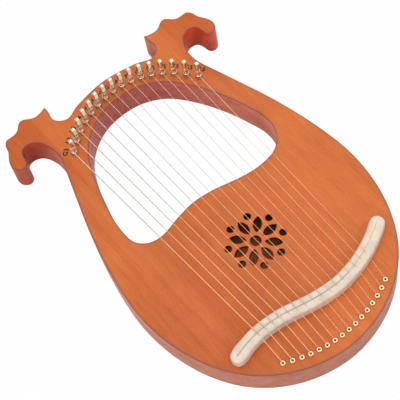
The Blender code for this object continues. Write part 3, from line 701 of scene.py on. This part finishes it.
def makeBridge():
    s = bridge
    line = turnedWay(smoothLoop(wallLoops("bridge", s["level"])[0], smoothing["outline"]), True)
    line = besideLoop(line, -s["out"])
    rows = wallRows(s["foot"], s["top"], s["edge"], True, s["steps"])
    mesh = solidFrom("bridge", [(line, rows)], creamResin)
    newPiece("smooth_bridge", mesh, "body", "bone", "bridge")


makeBridge()
print("boards and bridge made")


# Turned pieces, and the Geometry Nodes that repeat them

def turned(name, profile, sides):
    # a closed profile of (radius, height) in mm, turned round the upright axis into a ring
    shape = bmesh.new()
    rings = []
    for side in range(sides):
        angle = math.tau * side / sides
        rings.append([
            shape.verts.new((r * math.cos(angle) * mm, r * math.sin(angle) * mm, z * mm))
            for r, z in profile
        ])
    joinRings(shape, rings + rings[:1], True)
    bmesh.ops.recalc_face_normals(shape, faces=shape.faces)
    mesh = meshFrom(name, shape)
    mesh.set_sharp_from_angle(angle=math.radians(smoothing["sharp"]))
    return bpy.data.objects.new(name, mesh)


def newTree(name, inputs):
    # a geometry tree with the named inputs, its inputs' and its result's sockets
    tree = bpy.data.node_groups.new(name, "GeometryNodeTree")
    tree.is_modifier = True
    tree.interface.new_socket("Geometry", in_out="INPUT", socket_type="NodeSocketGeometry")
    for label, kind in inputs:
        tree.interface.new_socket(label, in_out="INPUT", socket_type=kind)
    tree.interface.new_socket("Geometry", in_out="OUTPUT", socket_type="NodeSocketGeometry")
    return tree, tree.nodes.new("NodeGroupInput").outputs, tree.nodes.new("NodeGroupOutput").inputs


def bakedMesh(guideMesh, tree, values):
    # runs the tree on the guide mesh and gives back a plain mesh, with the guide removed
    guide = newObject("guide", guideMesh)
    modifier = guide.modifiers.new("shape", "NODES")
    modifier.node_group = tree
    for item in tree.interface.items_tree:
        if item.in_out == "INPUT" and item.name in values:
            modifier[item.identifier] = values[item.name]
    mesh = finishedMesh(guide)
    bpy.data.objects.remove(guide)
    bpy.data.meshes.remove(guideMesh)
    return mesh


def makeRepeatTree():
    # one copy of the piece at each point, each turned its own way
    tree, given, result = newTree("piece at each point", [
        ("Piece", "NodeSocketObject"), ("Seed", "NodeSocketInt"), ("Finish", "NodeSocketMaterial"),
    ])
    piece = addNode(tree, "GeometryNodeObjectInfo", "Geometry", Object=given["Piece"])
    points = addNode(tree, "GeometryNodeMeshToPoints", Mesh=given["Geometry"])
    turn = addNode(tree, "FunctionNodeRandomValue", 1, {"data_type": "FLOAT"}, i3=math.tau,
                   Seed=given["Seed"])
    spin = addNode(tree, "ShaderNodeCombineXYZ", Z=turn)
    copies = addNode(tree, "GeometryNodeInstanceOnPoints", Points=points, Instance=piece,
                     Rotation=spin)
    solid = addNode(tree, "GeometryNodeRealizeInstances", Geometry=copies)
    painted = addNode(tree, "GeometryNodeSetMaterial", Geometry=solid, Material=given["Finish"])
    tree.links.new(painted, result["Geometry"])
    return tree


repeatTree = makeRepeatTree()
repeatSeed = 7


def repeated(name, ring, places, height, finish, *stoodFor):
    # one mesh with the turned ring at each place, riding on the body
    piece = turned(name, ring["profile"], ring["sides"])
    points = bpy.data.meshes.new("places")
    points.from_pydata([(place.x * mm, place.y * mm, height * mm) for place in places], [], [])
    mesh = bakedMesh(points, repeatTree, {"Piece": piece, "Seed": repeatSeed, "Finish": finish})
    bpy.data.objects.remove(piece)
    newPiece(name, mesh, "body", "brass", *stoodFor)


# Bush rings round the tuning pins: (radius, height above the face) in mm

pinPlaces = [placeOf(numbered("tuning_pin", index)) for index in range(stringCount)]
bush = {
    "profile": [
        (2.62, 0.02), (2.62, 5.3), (2.68, 5.38), (2.78, 5.36), (3.3, 4.76), (3.34, 4.6),
        (3.26, 4.44), (3.0, 4.2), (2.96, 0.9), (3.2, 0.4), (3.24, 0.02),
    ],
    "sides": 36,
}
repeated("bush_rings", bush, pinPlaces, layers["face"], bushBrass)

# Eyelets in the tail, each rolled from brass tube

eyeletNames = [numbered("eyelet", index) for index in range(stringCount)]
eyeletPlaces = [placeOf(name) for name in eyeletNames]
eyelet = {
    "profile": [
        (0.95, -2.2), (0.95, 0.25), (1.02, 0.62), (1.32, 0.92), (1.85, 1.08), (2.35, 0.98),
        (2.68, 0.70), (2.75, 0.35), (2.72, 0.04), (1.75, 0.04), (1.70, -0.2), (1.70, -2.2),
    ],
    "sides": 32,
}
repeated("eyelets", eyelet, eyeletPlaces, layers["face"], eyeletBrass, *eyeletNames)

# Ball ends of the strings, seated behind the tail block and seen from the back; their height
# is above the table

ball = {
    "profile": [
        (0.5, -1.6), (0.5, 1.6), (1.6, 1.6), (1.88, 1.38), (1.9, 0.9), (1.5, 0.45),
        (1.42, 0.0), (1.5, -0.45), (1.9, -0.9), (1.88, -1.38), (1.6, -1.6),
    ],
    "sides": 24,
    "height": 7.1,
}
repeated("ball_ends", ball, eyeletPlaces, ball["height"], ballBrass)
print("bush rings, eyelets and ball ends made")


# Strings

strings = {
    "woundDiameter": (0.92, 0.60),       # first and last of the wound bass strings, mm
    "plainDiameter": (0.46, 0.40),       # and of the plain ones
    "woundCount": 7,
    "sides": 10,
    "leave": 11.5, "hole": 15.8,         # heights above the face: leaving its pin, and the hole
    "stepsPerTurn": 20, "turnGap": 0.06,     # the gap in mm
    "clean": 0.5,                        # mm before it leaves its pin, where the painted shade of the winding ends
    "saddle": (45.5, -100.0),            # a CAD string is on the saddle above and tailward of these
    "mouth": 1.1,                        # height above the face where its bend ends in the eyelet
    "bend": 1.2, "bendSteps": 6,         # that bend's radius
    "touch": 0.02,                       # clear of what it lies on
}
pin = {
    "radius": 2.5, "sides": 48,
    # rows of height above the face, half width and squareness, from round (2) to nearly square
    "foot": [(-18.0, 2.0, 2), (-17.5, 2.5, 2), (0.9, 2.5, 2)],
    "head": [
        (8.6, 2.5, 2), (12.0, 2.5, 2), (16.8, 2.5, 2), (17.2, 2.5, 3.2), (17.55, 2.5, 7),
        (17.8, 2.5, 7), (24.9, 2.34, 7), (25.25, 2.34, 7), (25.65, 2.18, 6), (25.92, 1.84, 5),
        (26.0, 1.39, 4),
    ],
    "thread": (1.0, 8.4),                     # from and to above the face
    "pitch": 0.8, "threadDepth": 0.15, "rowsPerPitch": 7,
    "holeRadius": 0.8, "drillLength": 9.0, "drillSides": 20,
    "stubLength": 5.1, "stubSides": 12,       # the string's end, as long as the hole
    "sharp": 38,                              # degrees
}


def diameterOf(index):
    wound = strings["woundCount"]
    if index < wound:
        (first, last), share = strings["woundDiameter"], index / (wound - 1)
    else:
        (first, last), share = strings["plainDiameter"], (index - wound) / (stringCount - 1 - wound)
    return first + (last - first) * share


def saddleSpot(index):
    # where the CAD string bends over the saddle rod: its highest points near the tail
    height, along = strings["saddle"]
    spots = [vertex.co.xy for vertex in nodes[numbered("string", index)].data.vertices
             if vertex.co.z > height * mm and vertex.co.y < along * mm]
    return Vector((sum(spot.x for spot in spots), sum(spot.y for spot in spots))) / len(spots) / mm


def windingOf(index):
    # the string's turns on its pin, in mm from where it leaves up to the cross hole
    s, diameter, place = strings, diameterOf(index), pinPlaces[index]
    radius = pin["radius"] + s["touch"] + diameter / 2
    away = saddleSpot(index) - place
    leaving = math.atan2(away.y, away.x) - math.acos(radius / away.length)
    rise = s["hole"] - s["leave"]
    turns = round(2 * (rise - diameter / 2) / (diameter + s["turnGap"])) / 2
    steps = round(turns * s["stepsPerTurn"])
    line = []
    for step in range(steps + 1):
        share = step / steps
        angle = leaving - math.tau * turns * share
        line.append(Vector((place.x + radius * math.cos(angle), place.y + radius * math.sin(angle),
                            layers["face"] + s["leave"] + rise * share)))
    return line, leaving - math.tau * turns


def stringPath(index):
    # from the cross hole round the pin, over the saddle and down through the eyelet, in mm
    s, diameter = strings, diameterOf(index)
    eyeletPlace, saddle = eyeletPlaces[index], saddleSpot(index)
    winding = windingOf(index)[0]
    ridge = Vector((*saddle, layers["saddleTop"] + s["touch"] + diameter / 2))
    heading = (eyeletPlace - saddle).normalized()
    mouth = layers["face"] + s["mouth"]
    fall = math.atan2(ridge.z - mouth - s["bend"], (eyeletPlace - saddle).length)
    line = winding[::-1] + [ridge]
    for step in range(s["bendSteps"] + 1):
        slope = fall + (math.pi / 2 - fall) * step / s["bendSteps"]
        back = s["bend"] * (1 - math.sin(slope))
        line.append(Vector((eyeletPlace.x - heading.x * back, eyeletPlace.y - heading.y * back,
                            mouth + s["bend"] * math.cos(slope))))
    line.append(Vector((*eyeletPlace, ball["height"])))
    return line


def makeStringTree():
    # a round wire along the guide line, which keeps the distance along it and its wound part
    # for the material
    tree, given, result = newTree("wire along a line", [
        ("Radius", "NodeSocketFloat"), ("Sides", "NodeSocketInt"), ("Winding", "NodeSocketFloat"),
        ("Finish", "NodeSocketMaterial"),
    ])
    line = addNode(tree, "GeometryNodeMeshToCurve", Mesh=given["Geometry"])
    length = addNode(tree, "GeometryNodeSplineParameter", "Length")
    wound = addNode(tree, "ShaderNodeMath", 0, {"operation": "LESS_THAN"}, length, given["Winding"])
    for label, value in (("along", length), ("winding", wound)):
        line = addNode(tree, "GeometryNodeStoreNamedAttribute", 0,
                       {"data_type": "FLOAT", "domain": "POINT"},
                       Geometry=line, Name=label, Value=value)
    ring = addNode(tree, "GeometryNodeCurvePrimitiveCircle", "Curve",
                   Resolution=given["Sides"], Radius=given["Radius"])
    tube = addNode(tree, "GeometryNodeCurveToMesh", Curve=line, Profile_Curve=ring, Fill_Caps=True)
    smooth = addNode(tree, "GeometryNodeSetShadeSmooth", Geometry=tube)
    solid = addNode(tree, "GeometryNodeRealizeInstances", Geometry=smooth)
    painted = addNode(tree, "GeometryNodeSetMaterial", Geometry=solid, Material=given["Finish"])
    tree.links.new(painted, result["Geometry"])
    return tree


stringTree = makeStringTree()


def makeString(index):
    line = stringPath(index)
    turns = windingOf(index)[0]
    wound = sum((b - a).length for a, b in zip(turns, turns[1:]))
    guide = bpy.data.meshes.new("path")
    guide.from_pydata([spot * mm for spot in line], [(i, i + 1) for i in range(len(line) - 1)], [])
    mesh = bakedMesh(guide, stringTree, {
        "Radius": diameterOf(index) / 2 * mm, "Sides": strings["sides"],
        "Winding": (wound - strings["clean"]) * mm,
        "Finish": woundSteel if index < strings["woundCount"] else plainSteel,
    })
    newPiece(numbered("wire", index), mesh, "body", "string_steel", numbered("string", index))


for index in range(stringCount):
    makeString(index)
print("strings made")


# Tuning pins

def crossSection(angle, half, power):
    # distance to the edge of a round (power 2) to nearly square (power 7) section
    return half / (abs(math.cos(angle)) ** power + abs(math.sin(angle)) ** power) ** (1 / power)


def pinRows():
    # (height, half width, squareness, threaded) from the foot to the top, in mm
    start, end = pin["thread"]
    count = round((end - start) / pin["pitch"] * pin["rowsPerPitch"])
    thread = [(start + (end - start) * step / count, pin["radius"], 2, True)
              for step in range(count + 1)]
    foot, head = [[(*row, False) for row in pin[part]] for part in ("foot", "head")]
    return foot + thread + head


def pinShape():
    # the pin standing on its axis, before its cross hole is drilled
    sides = pin["sides"]
    shape = bmesh.new()
    rings = []
    for height, half, power, threaded in pinRows():
        ring = []
        for side in range(sides):
            angle = math.tau * side / sides
            reach = crossSection(angle, half, power)
            if threaded:
                phase = (height / pin["pitch"] + side / sides) % 1
                reach -= pin["threadDepth"] * (1 - abs(2 * phase - 1))
            x, y = reach * math.cos(angle), reach * math.sin(angle)
            ring.append(shape.verts.new((x * mm, y * mm, height * mm)))
        rings.append(ring)
    joinRings(shape, rings)
    shape.faces.new(rings[0][::-1])
    shape.faces.new(rings[-1])
    mesh = meshFrom("pin", shape)
    mesh.shade_smooth()
    mesh.set_sharp_from_angle(angle=math.radians(pin["sharp"]))
    return mesh


def crossBar(radius, length, sides):
    # a round bar that lies in the pin's cross hole
    bar = bmesh.new()
    bmesh.ops.create_cone(bar, cap_ends=True, segments=sides, radius1=radius * mm,
                          radius2=radius * mm, depth=length * mm)
    lying = Matrix.Rotation(math.pi / 2, 3, "Y")
    bmesh.ops.rotate(bar, cent=(0, 0, 0), matrix=lying, verts=bar.verts)
    bmesh.ops.translate(bar, vec=(0, 0, strings["hole"] * mm), verts=bar.verts)
    return meshFrom("bar", bar)


def drilledPin():
    # the pin with its cross hole, in nickel, and with the string's steel as second material
    blank = newObject("blank", pinShape())
    drill = newObject("drill", crossBar(pin["holeRadius"], pin["drillLength"], pin["drillSides"]))
    cut = blank.modifiers.new("hole", "BOOLEAN")
    cut.operation, cut.solver, cut.object = "DIFFERENCE", "EXACT", drill
    mesh = finishedMesh(blank)
    for item in (blank, drill):
        bpy.data.objects.remove(item)
    mesh.materials.clear()
    mesh.materials.append(nickelPlate)
    mesh.materials.append(plainSteel)
    return mesh


def makePin(index, blank):
    # the drilled pin, with its own string's end lying in the hole, set in its place
    shape = bmesh.new()
    shape.from_mesh(blank)
    stub = crossBar(diameterOf(index) / 2, pin["stubLength"], pin["stubSides"])
    first = len(shape.faces)
    shape.from_mesh(stub)
    shape.faces.ensure_lookup_table()
    for face in shape.faces[first:]:
        face.material_index = 1
        face.smooth = True
    holeAngle = windingOf(index)[1]
    place = pinPlaces[index]
    seat = Matrix.Translation(Vector((*place, layers["face"])) * mm)
    bmesh.ops.transform(shape, matrix=seat @ Matrix.Rotation(holeAngle, 4, "Z"), verts=shape.verts)
    mesh = blank.copy()
    shape.to_mesh(mesh)
    shape.free()
    bpy.data.meshes.remove(stub)
    body = numbered("pin", index)
    newPiece(f"{body}_turned", mesh, body, "nickel_plate", numbered("tuning_pin", index))


blankPin = drilledPin()
for index in range(stringCount):
    makePin(index, blankPin)
print("tuning pins made")


# Note letters burnt beside the pins

letters = {
    "notes": "G3 A3 B3 C4 D4 E4 F4 G4 A4 B4 C5 D5 E5 F5 G5 A5".split(),
    "size": 7.2, "bold": 0.32, "out": 10.0, "thick": 0.03, "merge": 0.0001,     # mm
    "spacing": 1.12,
}


def makeLetters():
    s = letters
    joined = bmesh.new()
    for index, note in enumerate(s["notes"]):
        text = bpy.data.curves.new("note", "FONT")
        text.body = note
        text.size = s["size"] * mm
        text.align_x, text.align_y = "CENTER", "CENTER"
        text.offset = s["bold"] * mm
        text.space_character = s["spacing"]
        text.extrude = s["thick"] / 2 * mm
        guide = newObject("note", text)
        mesh = finishedMesh(guide)
        bpy.data.objects.remove(guide)
        before, after = pinPlaces[max(index - 1, 0)], pinPlaces[min(index + 1, stringCount - 1)]
        along = (after - before).normalized()
        spot = pinPlaces[index] + Vector((-along.y, along.x)) * s["out"]
        seat = Matrix.Translation(Vector((*spot, layers["face"] + s["thick"] / 2)) * mm)
        mesh.transform(seat @ Matrix.Rotation(math.atan2(along.y, along.x), 4, "Z"))
        joined.from_mesh(mesh)
        bpy.data.meshes.remove(mesh)
    bmesh.ops.remove_doubles(joined, verts=joined.verts, dist=s["merge"] * mm)
    bmesh.ops.recalc_face_normals(joined, faces=joined.faces)
    mesh = meshFrom("note_letters", joined)
    mesh.materials.append(burntWood)
    newPiece("note_letters", mesh, "body", "stained_mahogany")


makeLetters()
print("note letters made")


# Scorched line round each hole of the rosette

laser = {"start": 0.01, "line": 0.55, "thick": 0.02}     # mm: from and to beside the hole, height


def makeScorchLines():
    # a thin flat ribbon on the face round each hole, as a laser leaves it
    s = laser
    x, y, reach = mahogany["rosette"]
    low, high = layers["face"] * mm, (layers["face"] + s["thick"]) * mm
    shape = bmesh.new()
    for loop in wallLoops("soundboard", boards["soundboard"][0]):
        if max((spot - Vector((x, y))).length for spot in loop) > reach:
            continue
        line = turnedWay(smoothLoop(loop, smoothing["hole"]), False)
        rings = [
            [shape.verts.new((*(spot * mm), height)) for spot in besideLoop(line, s[side])]
            for side, height in (("start", low), ("start", high), ("line", high), ("line", low))
        ]
        joinRings(shape, rings + rings[:1])
    bmesh.ops.recalc_face_normals(shape, faces=shape.faces)
    mesh = meshFrom("rosette_scorch", shape)
    mesh.materials.append(burntWood)
    newPiece("rosette_scorch", mesh, "body", "stained_mahogany")


makeScorchLines()
print("rosette edges scorched")


# Floor, lights and world

studio = {
    "floorSize": 8.0,                 # metres
    "floorDrop": 0.2,                 # mm below the table's height
    "floorColour": "#B8B8B8", "floorRoughness": 0.9, "floorGlow": 0.985,
    "worldStrength": 0.80,
    # watts, width and place of each lamp, in metres
    "lamps": {
        "key": (7.6, 1.3, (0.55, 0.45, 1.5)),
        "fill": (5.3, 0.9, (-1.3, -0.45, 0.5)),
        "side": (2.6, 0.8, (0.9, -0.75, 0.8)),
    },
}


def makeFloor():
    mesh = bpy.data.meshes.new("floor")
    half = studio["floorSize"] / 2
    level = -studio["floorDrop"] * mm
    corners = [(x * half, y * half, level) for x, y in ((-1, -1), (1, -1), (1, 1), (-1, 1))]
    mesh.from_pydata(corners, [], [(0, 1, 2, 3)])
    floor = newObject("floor", mesh)
    material = bpy.data.materials.new("studio floor")
    material.use_nodes = True
    tree = material.node_tree
    shader = tree.nodes["Principled BSDF"]
    shader.inputs["Base Color"].default_value = linear(studio["floorColour"])
    shader.inputs["Roughness"].default_value = studio["floorRoughness"]
    # the camera sees it mostly plain white, with a little of the shadow left, and metal
    # mirrors that white too
    seen = addNode(tree, "ShaderNodeLightPath", "Is Camera Ray")
    for other in ("Is Glossy Ray", "Is Transmission Ray"):
        ray = addNode(tree, "ShaderNodeLightPath", other)
        seen = addNode(tree, "ShaderNodeMath", 0, larger, seen, ray)
    share = addNode(tree, "ShaderNodeMath", 0, product, seen, studio["floorGlow"])
    glow = addNode(tree, "ShaderNodeEmission", Color=(1, 1, 1, 1), Strength=1.0)
    mix = addNode(tree, "ShaderNodeMixShader", 0, None, share, shader.outputs[0], glow)
    tree.links.new(mix, tree.nodes["Material Output"].inputs["Surface"])
    mesh.materials.append(material)


def makeLight(name, power, size, place):
    # a square lamp that faces the part
    data = bpy.data.lights.new(name, "AREA")
    data.energy = power
    data.size = size
    light = newObject(name, data)
    light.location = place
    light.rotation_euler = (-Vector(place)).to_track_quat("-Z", "Y").to_euler()


def makeWorld():
    world = bpy.data.worlds.new("studio")
    world.use_nodes = True
    background = world.node_tree.nodes["Background"]
    background.inputs["Color"].default_value = (1, 1, 1, 1)
    background.inputs["Strength"].default_value = studio["worldStrength"]
    bpy.context.scene.world = world


makeFloor()
for name, values in studio["lamps"].items():
    makeLight(name, *values)
makeWorld()
bpy.context.scene.view_settings.view_transform = "Standard"
print("floor, lights and world set")
